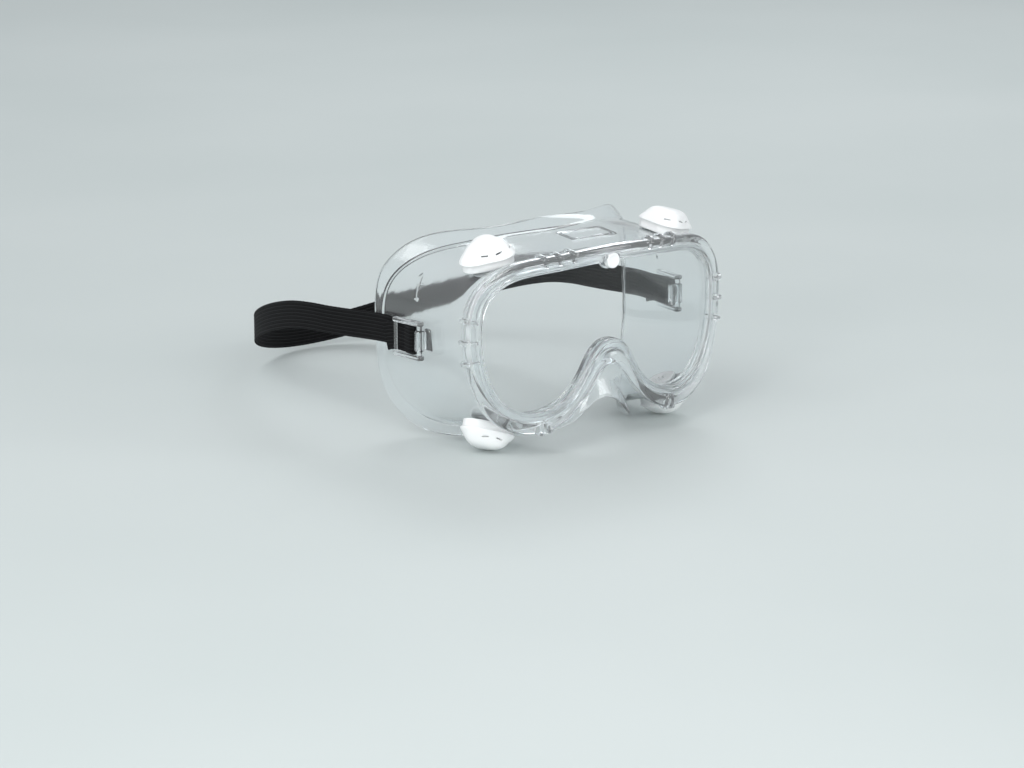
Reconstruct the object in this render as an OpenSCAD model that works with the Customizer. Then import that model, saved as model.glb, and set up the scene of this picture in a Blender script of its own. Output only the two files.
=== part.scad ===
/* [Lens] */
// Radius that the lens is curved to, about an upright axis
lens_radius = 245; // [225:5:280]
// Thickness of the lens
lens_thickness = 1.6; // [1.2:0.1:1.8]
// How far the lens reaches under the rim, past the edge of the opening
lens_grip = 4.3; // [3.5:0.1:4.5]

/* [Frame] */
// Distance from the front of the lens back to the middle of the face seal
lens_setback = 40; // [38:0.5:42]
// Thickness of the soft wall
wall = 2; // [1.6:0.1:2.2]
// How far the rim stands in front of the lens
rim_front = 3; // [2.6:0.1:3.4]
// How far the rim reaches behind the front of the lens
rim_back = 4.8; // [4.4:0.1:5.2]
// How far the wall is set in from the outside of the rim
wall_inset = 2.8; // [2:0.1:3]

/* [Vents] */
// Radius of the port in the wall under each vent cap
port_r = 6; // [5.6:0.1:6.2]
// Length of a vent cap, across the goggles
cap_length = 25; // [23:0.5:26]
// Height of a vent cap above the wall
cap_height = 11.5; // [10.5:0.1:12]
// Thickness of a vent cap
cap_wall = 1.3; // [1:0.1:1.5]

/* [Lens stud] */
// Radius of the head of the stud that holds the lens at the top
stud_head_r = 3.6; // [3.2:0.1:3.8]
// Thickness of that head
stud_head_h = 2.8; // [2.4:0.1:3]
// Radius of its shank
stud_shank_r = 1.5; // [1.3:0.05:1.6]

/* [Buckles] */
// Length of a buckle, from its hinge bar to its rear bar
buckle_length = 15; // [14.5:0.1:15.5]
// Height of a buckle
buckle_height = 17.5; // [17.4:0.1:18.5]
// Radius of the bar that turns in the lug on the frame
pin_r = 1.2; // [1.1:0.05:1.25]
// Radial clearance between that bar and the lug
pin_clearance = 0.06; // [0.03:0.01:0.08]

/* [Headband] */
// Width of the elastic band
band_width = 13; // [12:0.1:13.2]
// Thickness of the elastic band
band_thickness = 1.1; // [0.9:0.05:1.1]
// How far the middle of the band lies behind the front of the lens
band_reach = 232; // [218:1:240]

/* [Hidden] */
$fn = 48;

// Outlines of the frame, each as half of a closed loop: from the top centre, down the wearer's
// left side and up to the nose. All four have the same number of points, so that the frame can be
// skinned from one to the next. Y counts back from the front of the lens.
// Edge of the lens opening, as x and z
opening_half = [
    [0, 32.2], [15, 31.8], [30, 31], [45, 30], [55, 27.5], [62, 22.6], [66, 15.5],
    [67, 6], [66.3, -4], [64, -13.5], [59.5, -22.5], [52.5, -29], [44, -32], [36, -31.8],
    [28, -29.2], [21, -24.5], [15.5, -17.5], [10.5, -9.5], [5, -4.7], [0, -3.7]];
// Outside of the rim, as x and z
rim_half = [
    [0, 39.8], [16, 39.4], [32, 38.6], [47.5, 37.6], [59.6, 34.3], [68.2, 27.7], [73.4, 18.5],
    [74.8, 6.5], [74, -5.5], [71.6, -17], [66.3, -28.8], [57.7, -37.3], [46.5, -41.7], [35, -41.3],
    [25.5, -37.8], [17.5, -31.8], [11.2, -25], [6.8, -19.3], [3, -16.1], [0, -15.5]];
// Crease where the wall turns out into the face seal, as x, y and z
crease_half = [
    [0, 40, 40.3], [15.5, 41, 40.3], [31, 44.2, 39.6], [45, 50, 37.4], [56, 56.5, 34.6],
    [64.5, 63.5, 29.5], [70.5, 70, 20.5], [72.7, 72.8, 8], [72.6, 72.5, -5], [72.2, 72.3, -17],
    [68.5, 70, -30], [60.5, 62.5, -41.5], [49.5, 51, -46.5], [38, 38, -46.5], [28.5, 24, -43.5],
    [21, 13, -39.5], [15.5, 8, -34.5], [10, 5.8, -28.5], [5, 5.4, -24.5], [0, 5.4, -23.5]];
// Free edge of the face seal, as x, y and z
lip_half = [
    [0, 47, 45], [16, 48.3, 44], [32, 52.2, 43], [47, 58.7, 42.3], [59, 66.3, 38.8],
    [67.5, 72.5, 31.5], [72.5, 76.3, 22], [74.2, 77, 9], [74.3, 75.8, -5], [73.8, 75.3, -19],
    [70, 72.3, -34], [62, 64.5, -46.5], [51, 53, -51.5], [39.5, 38, -51.3], [30, 22, -48.5],
    [22.5, 11, -45], [16.5, 5.5, -41.3], [11, 3.3, -36.7], [5.5, 3, -33], [0, 3, -31.8]];
// Stations that the skin has from one point of an outline to the next
loop_steps = 3;
// Play between the lens and its groove
groove_gap = 0.1;
// How far the outside of the rim reaches back from the lens, less than the part behind the groove
bead_back = 2.8;

// Vents on the left: the port's centre on the wall, and how far it tilts out and forward
vent_upper = [[52, 22.5, 34.3], 14, 5];
vent_lower = [[52, 22.5, -39.4], 22, 12];
// Outline of a vent cap, a triangle with round corners: how far its corners reach out
cap_corner = 0.13;
// Width of a vent cap as a share of its length
cap_squash = 0.9;
// Outside of a vent cap from its edge to its top: share of the outline, share of the height
cap_profile = [
    [0.92, 0.08], [0.93, 0.33], [1, 0.37], [0.98, 0.44], [0.8, 0.66], [0.64, 0.85], [0.44, 0.96]];
// Slots in a cap's flank: their angles, where they stand as shares of the outline and height, size
cap_slots = [-130, -90, -50, 50, 90, 130];
cap_slot_at = [0.82, 0.63];
cap_slot = [3.4, 1.1];
cap_segments = 36;
// Wall of the tube that plugs a vent cap into its port
stem_wall = 1.3;
// Depth of the baffle behind the wall
baffle_depth = 3.4;
baffle_plate = 1.2;

// Middle of the lens stud, and the back of the tab that it goes through
stud_z = 32.5;
stud_tab_back = lens_thickness + groove_gap + 2.1;

// Middle of the buckle's hinge bar, behind the front of the lens
hinge = [77, 40, -1];
// Wall of the lug round the hinge bar, and height of the lug
lug_wall = 0.85;
lug_height = 9;
// Distance from the hinge bar to the bar that the band wraps
wrap_bar_y = 4.6;
// Size of that bar in x and y
wrap_bar = [2, 1.4];
// Rear bar, which lies over the band: its radius and its distance out from the hinge
rear_bar_r = 0.75;
rear_bar_x = 1.9;
// Clear height between the side rails of the buckle
window = band_width + 0.9;

// Middle of the band on the left, from the buckle back to where it starts to curve round the head
band_side = [
    [75.2, 44.6, -1], [75.3, 51, -0.6], [75.5, 58, -0.4], [75.6, 68, -0.3], [75.8, 80, -1.2],
    [76.6, 94, -2.4], [77.5, 108, -3.4], [77.8, 121, -4.2]];
// From there it follows half an ellipse, and drops to the back of the head
band_half_width = 77.8;
band_curve_y = 121;
band_start_z = -4.2;
band_drop = 40;
band_steps = 24;
// Play between two lengths of band on different bodies, which end square to the run for a short way
band_gap = 0.3;
band_square = 1;
// Where the length of band on the buckle ends, and where the tail starts, sags and ends
loop_end_y = 58;
tail_start_y = 50;
tail_sag_y = 57;
tail_end_y = 64;
tail_x = 77.4;
tail_sag = 1.3;

// A half outline followed by its mirror image, as a closed loop.
function closed(half) = concat(half, [for (i = [len(half) - 2:-1:1]) flipped(half[i])]);
function flipped(p) = [for (k = [0:len(p) - 1]) k == 0 ? -p[0] : p[k]];

// A smooth curve through the points of a closed loop, at the share t of the way from point i on.
function curve_point(p, i, t) = let (
    n = len(p),
    a = p[(i + n - 1) % n],
    b = p[i],
    c = p[(i + 1) % n],
    d = p[(i + 2) % n])
    0.5 * (2 * b + (c - a) * t + (2 * a - 5 * b + 4 * c - d) * t * t + (3 * b - a - 3 * c + d) * t * t * t);
function smooth_loop(half) = let (p = closed(half))
    [for (i = [0:len(p) - 1], s = [0:loop_steps - 1]) curve_point(p, i, s / loop_steps)];

frame_opening = smooth_loop(opening_half);
frame_rim = smooth_loop(rim_half);
frame_crease = smooth_loop(crease_half);
frame_lip = smooth_loop(lip_half);

// How far the lens surface lies behind its middle, at a distance x to one side.
function lens_sag(x) = lens_radius - sqrt(lens_radius * lens_radius - x * x);

// A point of the rim: out from the edge of the opening along dir, and back from the lens.
function rim_point(edge, dir, out, back) = let (x = edge[0] + dir[0] * out)
    [x, lens_sag(x) + back, edge[1] + dir[1] * out];

// Unit vector into the goggles, square to the path from a to b in the plane of dir and +Y.
function inward(a, b, dir) = let (
    out = (b[0] - a[0]) * dir[0] + (b[2] - a[2]) * dir[1],
    back = b[1] - a[1],
    l = norm([out, back]))
    [-back / l * dir[0], out / l, -back / l * dir[1]];
function unit(v) = v / norm(v);

// Section of the frame at one station: the rim's front, the wall's outside, the face seal's
// edge, the wall's inside, the rim's back and the groove for the lens.
function frame_section(edge, rim, crease, lip) = let (
    w = norm(rim - edge),
    d = (rim - edge) / w,
    foot = rim_point(edge, d, w - wall_inset, bead_back + 0.6),
    in_foot = inward(foot, crease, d),
    in_lip = inward(crease, lip, d),
    in_crease = unit(in_foot + in_lip),
    wall_1 = foot * 0.67 + crease * 0.33,
    wall_2 = foot * 0.33 + crease * 0.67,
    groove_back = lens_thickness + groove_gap,
    groove_out = lens_grip + 0.2)
    [rim_point(edge, d, 0, -groove_gap), rim_point(edge, d, 0.2, -rim_front * 0.6),
     rim_point(edge, d, 1, -rim_front * 0.9), rim_point(edge, d, 2.4, -rim_front),
     rim_point(edge, d, 3, -rim_front * 0.8), rim_point(edge, d, 3.6, -rim_front),
     rim_point(edge, d, w - 1.4, -rim_front * 0.9), rim_point(edge, d, w - 0.4, -rim_front * 0.6),
     rim_point(edge, d, w, 0), rim_point(edge, d, w, bead_back * 0.7), rim_point(edge, d, w - 0.8, bead_back),
     foot, wall_1, wall_2, crease, lip,
     lip + wall * 0.7 * in_lip, crease + wall * in_crease,
     wall_2 + wall * in_foot, wall_1 + wall * in_foot, foot + wall * in_foot,
     rim_point(edge, d, 0.8, rim_back), rim_point(edge, d, 0, rim_back * 0.7),
     rim_point(edge, d, 0, groove_back), rim_point(edge, d, groove_out, groove_back),
     rim_point(edge, d, groove_out, -groove_gap)];

// Y counts back from the front of the lens inside this module.
module seated() {
    translate([0, -lens_setback, 0]) children();
}

// The same shape on the wearer's left, or mirrored to the right.
module on_side(right) {
    mirror([right ? 1 : 0, 0, 0]) children();
}

// Solid between closed sections that follow each other round a closed loop.
module ring_skin(sections) {
    n = len(sections);
    m = len(sections[0]);
    polyhedron(
        points = [for (s = sections, p = s) p],
        faces = [for (i = [0:n - 1], j = [0:m - 1])
            [i * m + j, i * m + (j + 1) % m, ((i + 1) % n) * m + (j + 1) % m, ((i + 1) % n) * m + j]],
        convexity = 8);
}

// A length of band: a flat strip on edge, along the points of its middle line.
module band(path) {
    n = len(path);
    tangents = [for (i = [0:n - 1]) unit(path[min(i + 1, n - 1)] - path[max(i - 1, 0)])];
    across = [for (t = tangents) unit([0, 0, 1] - t[2] * t)];
    polyhedron(
        points = [for (i = [0:n - 1]) let (
            up = across[i] * band_width / 2,
            out = cross(across[i], tangents[i]) * band_thickness / 2,
            p = path[i])
            each [p + up + out, p + up - out, p - up - out, p - up + out]],
        faces = concat(
            [for (i = [0:n - 2], j = [0:3])
                [i * 4 + j, i * 4 + (j + 1) % 4, i * 4 + 4 + (j + 1) % 4, i * 4 + 4 + j]],
            [[3, 2, 1, 0], [for (j = [0:3]) n * 4 - 4 + j]]),
        convexity = 6);
}

// Lug on the frame's side wall: a split ring that the buckle's hinge bar snaps into.
module lug() {
    r = pin_r + pin_clearance + lug_wall;
    translate(hinge - [0, 0, lug_height / 2]) cylinder(r = r, h = lug_height);
    translate([hinge[0] - 6.4, hinge[1] - 1.3, hinge[2] - lug_height / 2]) cube([5.2, 2.6, lug_height]);
}

// Bore of the lug, and the slit that the bar is pushed in through.
module lug_bore() {
    slit = pin_r * 1.1;
    translate(hinge - [0, 0, lug_height]) cylinder(r = pin_r + pin_clearance, h = lug_height * 2);
    translate([hinge[0] - slit / 2, hinge[1] - 4, hinge[2] - lug_height]) cube([slit, 4, lug_height * 2]);
}

// A point of the band's middle where it curves round the head: 0 on the left, 180 on the right.
function band_round(angle) = [
    band_half_width * cos(angle),
    band_curve_y + (band_reach - band_curve_y) * sin(angle),
    band_start_z - band_drop * pow(sin(angle), 1.5)];

// Places children on a vent: +Z out of the wall, +X away from the nose, +Y to the back.
module at_vent(right, lower) {
    v = lower ? vent_lower : vent_upper;
    seated()
    on_side(right)
    translate(v[0])
    mirror([0, 0, lower ? 1 : 0])
    rotate([v[2], v[1], 0])
    children();
}

// Places children at the lens stud, with +Z to the back.
module at_stud() {
    seated()
    translate([0, 0, stud_z])
    rotate([-90, 0, 0])
    children();
}

module frame_body() {
    color("gainsboro")
    difference() {
        union() {
            seated()
            ring_skin([for (i = [0:len(frame_opening) - 1])
                frame_section(frame_opening[i], frame_rim[i], frame_crease[i], frame_lip[i])]);
            for (right = [false, true])
                seated() on_side(right) lug();
            at_stud() translate([0, 0, stud_tab_back - 2]) cylinder(r = stud_head_r + 0.8, h = 2);
        }
        for (right = [false, true])
            seated() on_side(right) lug_bore();
        for (right = [false, true], lower = [false, true])
            at_vent(right, lower) translate([0, 0, -6]) cylinder(r = port_r, h = 10);
        at_stud() translate([0, 0, -8]) cylinder(r = stud_head_r + 0.3, h = 8 + lens_thickness / 2);
        at_stud() translate([0, 0, -1]) cylinder(r = stud_shank_r + 0.1, h = 8);
        at_stud() translate([0, 0, stud_tab_back - 0.1]) cylinder(r = stud_head_r + 0.2, h = 2);
    }
}

module lens() {
    // Outline in x and z, grown past the opening on all sides
    outline = [for (i = [0:len(frame_opening) - 1])
        frame_opening[i] + lens_grip * unit(frame_rim[i] - frame_opening[i])];
    color([0.85, 0.95, 1, 0.5])
    difference() {
        seated()
        intersection() {
            translate([0, lens_radius, -50])
            difference() {
                cylinder(r = lens_radius, h = 100, $fn = 360);
                translate([0, 0, -1]) cylinder(r = lens_radius - lens_thickness, h = 102, $fn = 360);
            }
            translate([0, 30, 0]) rotate([90, 0, 0]) linear_extrude(40) polygon(outline);
        }
        at_stud() translate([0, 0, -5]) cylinder(r = stud_shank_r + 0.1, h = 10);
    }
}

module lens_stud() {
    edge = 0.5;
    back = lens_thickness + groove_gap + 3.6;
    color("white")
    at_stud()
    rotate_extrude()
    polygon([
        [0, -stud_head_h], [stud_head_r - edge, -stud_head_h], [stud_head_r, edge - stud_head_h],
        [stud_head_r, -0.05], [stud_shank_r, -0.05], [stud_shank_r, back - 0.8],
        [stud_shank_r - 0.5, back], [0, back]]);
}

module lens_stud_cap() {
    front = stud_tab_back + 0.05;
    color("white")
    at_stud()
    difference() {
        translate([0, 0, front]) cylinder(r1 = stud_head_r - 0.2, r2 = stud_head_r - 0.8, h = 1.2);
        cylinder(r = stud_shank_r + 0.05, h = 10);
    }
}

// A point of a vent cap's outline at an angle, for a share of its full size.
function cap_point(angle, share) = let (r = cap_length / 2 * share * (1 + cap_corner * cos(3 * angle)))
    [r * cos(angle), r * sin(angle) * cap_squash];

// Hollow dome with the outline of a rounded triangle.
module cap_dome() {
    inner = 1 - cap_wall / (cap_length / 2);
    outer_rings = [for (p = cap_profile) [p[0], p[1] * cap_height]];
    inner_rings = [for (i = [len(cap_profile) - 1:-1:0]) let (p = cap_profile[i])
        [p[0] * inner, p[1] * cap_height - (i > 0 ? cap_wall * 0.9 : 0)]];
    n = len(outer_rings);
    k = cap_segments;
    outer_points = [for (r = outer_rings, s = [0:k - 1]) [each cap_point(s * 360 / k, r[0]), r[1]]];
    inner_points = [for (r = inner_rings, s = [0:k - 1]) [each cap_point(s * 360 / k, r[0]), r[1]]];
    top = 2 * n * k;
    polyhedron(
        points = concat(outer_points, inner_points, [[0, 0, cap_height], [0, 0, cap_height - cap_wall]]),
        faces = concat(
            [for (i = [0:n - 2], s = [0:k - 1])
                [i * k + s, (i + 1) * k + s, (i + 1) * k + (s + 1) % k, i * k + (s + 1) % k]],
            [for (s = [0:k - 1]) [(n - 1) * k + s, top, (n - 1) * k + (s + 1) % k]],
            [for (s = [0:k - 1]) [n * k + s, n * k + (s + 1) % k, top + 1]],
            [for (i = [n:2 * n - 2], s = [0:k - 1])
                [i * k + s, (i + 1) * k + s, (i + 1) * k + (s + 1) % k, i * k + (s + 1) % k]],
            [for (s = [0:k - 1])
                [(2 * n - 1) * k + s, s, (s + 1) % k, (2 * n - 1) * k + (s + 1) % k]]),
        convexity = 4);
}

// Cap with the slotted tube that plugs it into the wall.
module vent_cap(right, lower) {
    stem_r = port_r - 0.1;
    stem_top = cap_height - 2 * cap_wall;
    color("white")
    at_vent(right, lower)
    difference() {
        union() {
            cap_dome();
            translate([0, 0, -baffle_depth]) cylinder(r = stem_r, h = baffle_depth + stem_top);
        }
        translate([0, 0, -baffle_depth - 1]) cylinder(r = stem_r - stem_wall, h = baffle_depth + stem_top);
        for (a = [0:60:120])
            rotate([0, 0, a + 30]) translate([-10, -1.6, 1.4]) cube([20, 3.2, 2.4]);
        for (a = cap_slots)
            translate([each cap_point(a, cap_slot_at[0]), cap_slot_at[1] * cap_height])
            rotate([0, -40, a])
            cube([5, cap_slot[0], cap_slot[1]], center = true);
    }
}

// Baffle that snaps into the cap's tube from inside and clamps the wall.
module vent_baffle(right, lower) {
    plug_r = port_r - 0.1 - stem_wall - 0.05;
    color("whitesmoke")
    at_vent(right, lower)
    translate([0, 0, -baffle_depth - baffle_plate])
    difference() {
        union() {
            cylinder(r = port_r + 1.5, h = baffle_plate - 0.02);
            cylinder(r = plug_r, h = baffle_plate + 2.4);
        }
        translate([0, 0, baffle_plate]) cylinder(r = plug_r - 1, h = 5);
        for (a = [0:60:300])
            rotate([0, 0, a]) translate([2.2, 0, -1]) cylinder(r = 0.7, h = 5);
    }
}

// Outline of a buckle's side rail in plan, with the hinge at the origin.
module rail_outline() {
    front_r = 2;
    rear_r = rear_bar_r + 0.65;
    circle(r = front_r);
    translate([rear_bar_x, buckle_length]) circle(r = rear_r);
    polygon([
        [-front_r, 0], [rear_bar_x - rear_r, buckle_length],
        [rear_bar_x + rear_r, buckle_length], [front_r, 0]]);
}

// Outline of the bar that the band wraps, a flat bar with round edges.
module wrap_bar_outline() {
    r = wrap_bar[1] / 2;
    flat = wrap_bar[0] - 2 * r;
    square([flat, wrap_bar[1]], center = true);
    for (x = [-flat / 2, flat / 2])
        translate([x, 0]) circle(r = r);
}

module buckle(right) {
    rail = (buckle_height - window) / 2;
    color([0.9, 0.95, 1, 0.6])
    seated()
    on_side(right)
    translate(hinge) {
        for (z = [-buckle_height / 2, window / 2])
            translate([0, 0, z]) linear_extrude(rail) rail_outline();
        translate([0, 0, -buckle_height / 2 + 0.5]) cylinder(r = pin_r, h = buckle_height - 1);
        translate([rear_bar_x, buckle_length, -buckle_height / 2 + 0.5])
            cylinder(r = rear_bar_r, h = buckle_height - 1);
        translate([-0.1, wrap_bar_y, -buckle_height / 2 + 0.5])
            linear_extrude(buckle_height - 1) wrap_bar_outline();
    }
}

// The band's end where it wraps the buckle's bar: in along the inside, round, and out again.
module strap_loop(right) {
    bend = wrap_bar[0] / 2 + 0.15 + band_thickness / 2;
    centre = hinge + [-0.1, wrap_bar_y, 0];
    inside = [[band_side[2][0], loop_end_y - band_gap / 2, band_side[2][2]], band_side[1]];
    turn = [for (a = [180:30:360]) centre + bend * [cos(a), sin(a), 0]];
    outside = [[tail_x + 0.6, tail_start_y - 2.6, hinge[2]], [tail_x, tail_start_y - band_gap, hinge[2]]];
    color("black")
    seated()
    on_side(right)
    band(concat(inside, turn, outside));
}

// Free end of the band, outside the main run and under the rear bar.
module strap_tail(right) {
    color("black")
    seated()
    on_side(right)
    band([
        [tail_x, tail_start_y, hinge[2]],
        [tail_x, tail_sag_y, hinge[2]],
        [tail_x, tail_end_y, hinge[2] - tail_sag]]);
}

module strap_side(right) {
    n = len(band_side) - 1;
    start = [band_side[2][0], loop_end_y + band_gap / 2, band_side[2][2]];
    end = band_side[n] - [0, band_gap, 0];
    color("black")
    seated()
    on_side(right)
    band([start, for (i = [3:n - 1]) band_side[i], end - [0, band_square, 0], end]);
}

module strap_back() {
    color("black")
    seated()
    band([
        band_round(0),
        band_round(0) + [0, band_square, 0],
        for (i = [1:band_steps - 1]) band_round(i * 180 / band_steps),
        band_round(180) + [0, band_square, 0],
        band_round(180)]);
}

frame_body();
lens();
lens_stud();
lens_stud_cap();
vent_cap(false, false);  // vent_cap_upper_left
vent_cap(true, false);  // vent_cap_upper_right
vent_cap(false, true);  // vent_cap_lower_left
vent_cap(true, true);  // vent_cap_lower_right
vent_baffle(false, false);  // vent_baffle_upper_left
vent_baffle(true, false);  // vent_baffle_upper_right
vent_baffle(false, true);  // vent_baffle_lower_left
vent_baffle(true, true);  // vent_baffle_lower_right
buckle(false);  // buckle_left
buckle(true);  // buckle_right
strap_loop(false);  // strap_loop_left
strap_loop(true);  // strap_loop_right
strap_tail(false);  // strap_tail_left
strap_tail(true);  // strap_tail_right
strap_side(false);  // strap_side_left
strap_side(true);  // strap_side_right
strap_back();
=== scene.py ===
"""Safety goggles: the looks of each piece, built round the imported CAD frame.

Lengths are millimetres until a mesh is made. In the frame of the goggles' outlines, X is the
wearer's left, Z is up, and Y counts back from the front of the lens. The joins of the band, the
materials, the lights and the camera are in metres, and places there are in the part's own frame.
"""

import math

import bmesh
import bpy
import numpy as np
from mathutils import Euler, Matrix, Vector, geometry
from mathutils.bvhtree import BVHTree


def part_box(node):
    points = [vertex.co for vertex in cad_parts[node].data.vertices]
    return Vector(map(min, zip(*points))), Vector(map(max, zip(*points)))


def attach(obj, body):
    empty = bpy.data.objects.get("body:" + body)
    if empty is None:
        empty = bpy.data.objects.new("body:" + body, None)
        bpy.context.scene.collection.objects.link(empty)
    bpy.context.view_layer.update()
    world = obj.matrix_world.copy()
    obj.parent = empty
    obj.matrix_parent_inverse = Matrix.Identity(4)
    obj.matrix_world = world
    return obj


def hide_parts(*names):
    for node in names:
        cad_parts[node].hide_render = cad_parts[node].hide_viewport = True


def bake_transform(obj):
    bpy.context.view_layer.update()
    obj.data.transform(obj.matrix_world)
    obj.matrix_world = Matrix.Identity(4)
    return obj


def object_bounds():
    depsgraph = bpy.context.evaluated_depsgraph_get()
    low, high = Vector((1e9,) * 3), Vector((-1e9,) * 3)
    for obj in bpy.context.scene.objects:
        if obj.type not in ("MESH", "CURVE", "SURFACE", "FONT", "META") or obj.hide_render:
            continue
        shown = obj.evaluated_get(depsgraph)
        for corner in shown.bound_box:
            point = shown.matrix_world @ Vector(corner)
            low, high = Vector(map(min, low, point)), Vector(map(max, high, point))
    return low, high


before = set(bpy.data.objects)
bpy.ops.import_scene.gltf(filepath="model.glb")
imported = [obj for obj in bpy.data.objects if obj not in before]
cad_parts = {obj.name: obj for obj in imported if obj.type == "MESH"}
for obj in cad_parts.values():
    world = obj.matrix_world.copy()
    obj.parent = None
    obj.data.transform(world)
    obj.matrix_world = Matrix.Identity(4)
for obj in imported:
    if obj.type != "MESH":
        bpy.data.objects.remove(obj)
CAD_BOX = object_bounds()
MM = 0.001

# ---------------------------------------------------------------- dimensions, as in the part
LENS_RADIUS, LENS_THICKNESS, LENS_GRIP, LENS_SETBACK = 245, 1.6, 4.3, 40
WALL, LIP_THICKNESS = 2.0, 1.4
RIM_BACK, BEAD_BACK, WALL_INSET, GROOVE_GAP = 4.8, 2.8, 2.8, 0.1
PORT_R, CAP_LENGTH, CAP_HEIGHT, CAP_WALL = 6.0, 25.0, 11.5, 1.3
STUD_Z, STUD_HEAD_R, STUD_HEAD_H, STUD_SHANK_R = 32.5, 3.6, 2.8, 1.5
HINGE = np.array([77.0, 40.0, -1.0])
PIN_R, PIN_CLEARANCE, LUG_WALL, LUG_HEIGHT = 1.2, 0.06, 0.85, 9.0
BUCKLE_LENGTH, BUCKLE_HEIGHT = 15.0, 17.5
WRAP_BAR_X, WRAP_BAR_Y, WRAP_BAR = -0.1, 4.6, (2.0, 1.4)
REAR_BAR_R, REAR_BAR_X = 0.75, 1.9
BAND_WIDTH, BAND_THICKNESS, BAND_REACH = 13.0, 1.1, 232.0
TAIL_X, TAIL_START_Y, TAIL_SAG_Y, TAIL_END_Y, TAIL_SAG = 77.4, 50.0, 56.0, 64.0, 1.8
BAFFLE_DEPTH, BAFFLE_PLATE, STEM_WALL = 3.4, 1.2, 1.3

# Place of a vent on the wearer's left, and its lean in degrees outwards and forwards
VENT_UPPER = ((52, 22.5, 34.3), 14, 5)
VENT_LOWER = ((52, 22.5, -39.4), 22, 12)

# Half outlines of the frame, from the top centre down the wearer's left to the nose
OPENING = [
    (0, 32.2), (15, 31.8), (30, 31), (45, 30), (55, 27.5), (62, 22.6), (66, 15.5),
    (67, 6), (66.3, -4), (64, -13.5), (59.5, -22.5), (52.5, -29), (44, -32), (36, -31.8),
    (28, -29.2), (21, -24.5), (15.5, -17.5), (10.5, -9.5), (5, -4.7), (0, -3.7)]
RIM = [
    (0, 39.8), (16, 39.4), (32, 38.6), (47.5, 37.6), (59.6, 34.3), (68.2, 27.7), (73.4, 18.5),
    (74.8, 6.5), (74, -5.5), (71.6, -17), (66.3, -28.8), (57.7, -37.3), (46.5, -41.7), (35, -41.3),
    (25.5, -37.8), (17.5, -31.8), (11.2, -25), (6.8, -19.3), (3, -16.1), (0, -15.5)]
CREASE = [
    (0, 40, 40.3), (15.5, 41, 40.3), (31, 44.2, 39.6), (45, 50, 37.4), (56, 56.5, 34.6),
    (64.5, 63.5, 29.5), (70.5, 70, 20.5), (72.7, 72.8, 8), (72.6, 72.5, -5), (72.2, 72.3, -17),
    (68.5, 70, -30), (60.5, 62.5, -41.5), (49.5, 51, -46.5), (38, 38, -46.5), (28.5, 24, -43.5),
    (21, 13, -39.5), (15.5, 8, -34.5), (10, 5.8, -28.5), (5, 5.4, -24.5), (0, 5.4, -23.5)]
LIP = [
    (0, 47, 45), (16, 48.3, 44), (32, 52.2, 43), (47, 58.7, 42.3), (59, 66.3, 38.8),
    (67.5, 72.5, 31.5), (72.5, 76.3, 22), (74.2, 77, 9), (74.3, 75.8, -5), (73.8, 75.3, -19),
    (70, 72.3, -34), (62, 64.5, -46.5), (51, 53, -51.5), (39.5, 38, -51.3), (30, 22, -48.5),
    (22.5, 11, -45), (16.5, 5.5, -41.3), (11, 3.3, -36.7), (5.5, 3, -33), (0, 3, -31.8)]
BAND_SIDE = [
    (75.2, 44.6, -1), (75.3, 51, -0.6), (75.5, 58, -0.4), (75.6, 68, -0.3), (75.8, 80, -1.2),
    (76.6, 94, -2.4), (77.5, 108, -3.4), (77.8, 121, -4.2)]
BAND_HALF_WIDTH, BAND_CURVE_Y, BAND_START_Z = BAND_SIDE[-1]
BAND_DROP, BAND_DROP_CURVE = 40.0, 1.5

TO_PART = Matrix.Translation((0, -LENS_SETBACK, 0))
FLIP = {"left": 1, "right": -1}
SIDES = {side: Matrix.Scale(flip, 4, (1, 0, 0)) for side, flip in FLIP.items()}


# ---------------------------------------------------------------- curves
CORNER_STEPS = 4              # steps round a corner of a section, unless a call says otherwise


def unit(v):
    return v / np.linalg.norm(v, axis=-1, keepdims=True)


class Loop:
    """Smooth closed curve through a half outline and its mirror image, one unit of s per point."""

    def __init__(self, half):
        half = np.array(half, float)
        mirrored = half[-2:0:-1].copy()
        mirrored[:, 0] *= -1
        self.p = np.vstack([half, mirrored])
        n = len(self.p)
        bend = np.roll(self.p, 1, 0) - 2 * self.p + np.roll(self.p, -1, 0)
        system = 4 * np.eye(n) + np.roll(np.eye(n), 1, 0) + np.roll(np.eye(n), -1, 0)
        self.m = np.linalg.solve(system, 6 * bend)

    def at(self, s):
        s = np.asarray(s, float) % len(self.p)
        i = np.floor(s).astype(int) % len(self.p)
        j = (i + 1) % len(self.p)
        t = (s - np.floor(s))[:, None]
        cubic = ((1 - t) ** 3 - (1 - t)) * self.m[i] + (t ** 3 - t) * self.m[j]
        return (1 - t) * self.p[i] + t * self.p[j] + cubic / 6


def lengths_along(points):
    """Distance from the first of a row of points to each of them, along the row."""
    return np.concatenate([[0], np.cumsum(np.linalg.norm(np.diff(points, axis=0), axis=1))])


def through(points, step):
    """Points about step apart on a smooth open curve through the given ones."""
    p = np.array(points, float)
    ends = np.vstack([2 * p[0] - p[1], p, 2 * p[-1] - p[-2]])
    t = np.linspace(0, 1, 24, endpoint=False)[:, None]
    dense = []
    for a, b, c, d in zip(ends, ends[1:], ends[2:], ends[3:]):
        dense.append(0.5 * (2 * b + (c - a) * t + (2 * a - 5 * b + 4 * c - d) * t ** 2
                            + (3 * b - a - 3 * c + d) * t ** 3))
    dense = np.vstack(dense + [p[-1:]])
    length = lengths_along(dense)
    at = np.linspace(0, length[-1], max(2, round(length[-1] / step) + 1))
    return np.stack([np.interp(at, length, dense[:, k]) for k in range(3)], 1)


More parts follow.
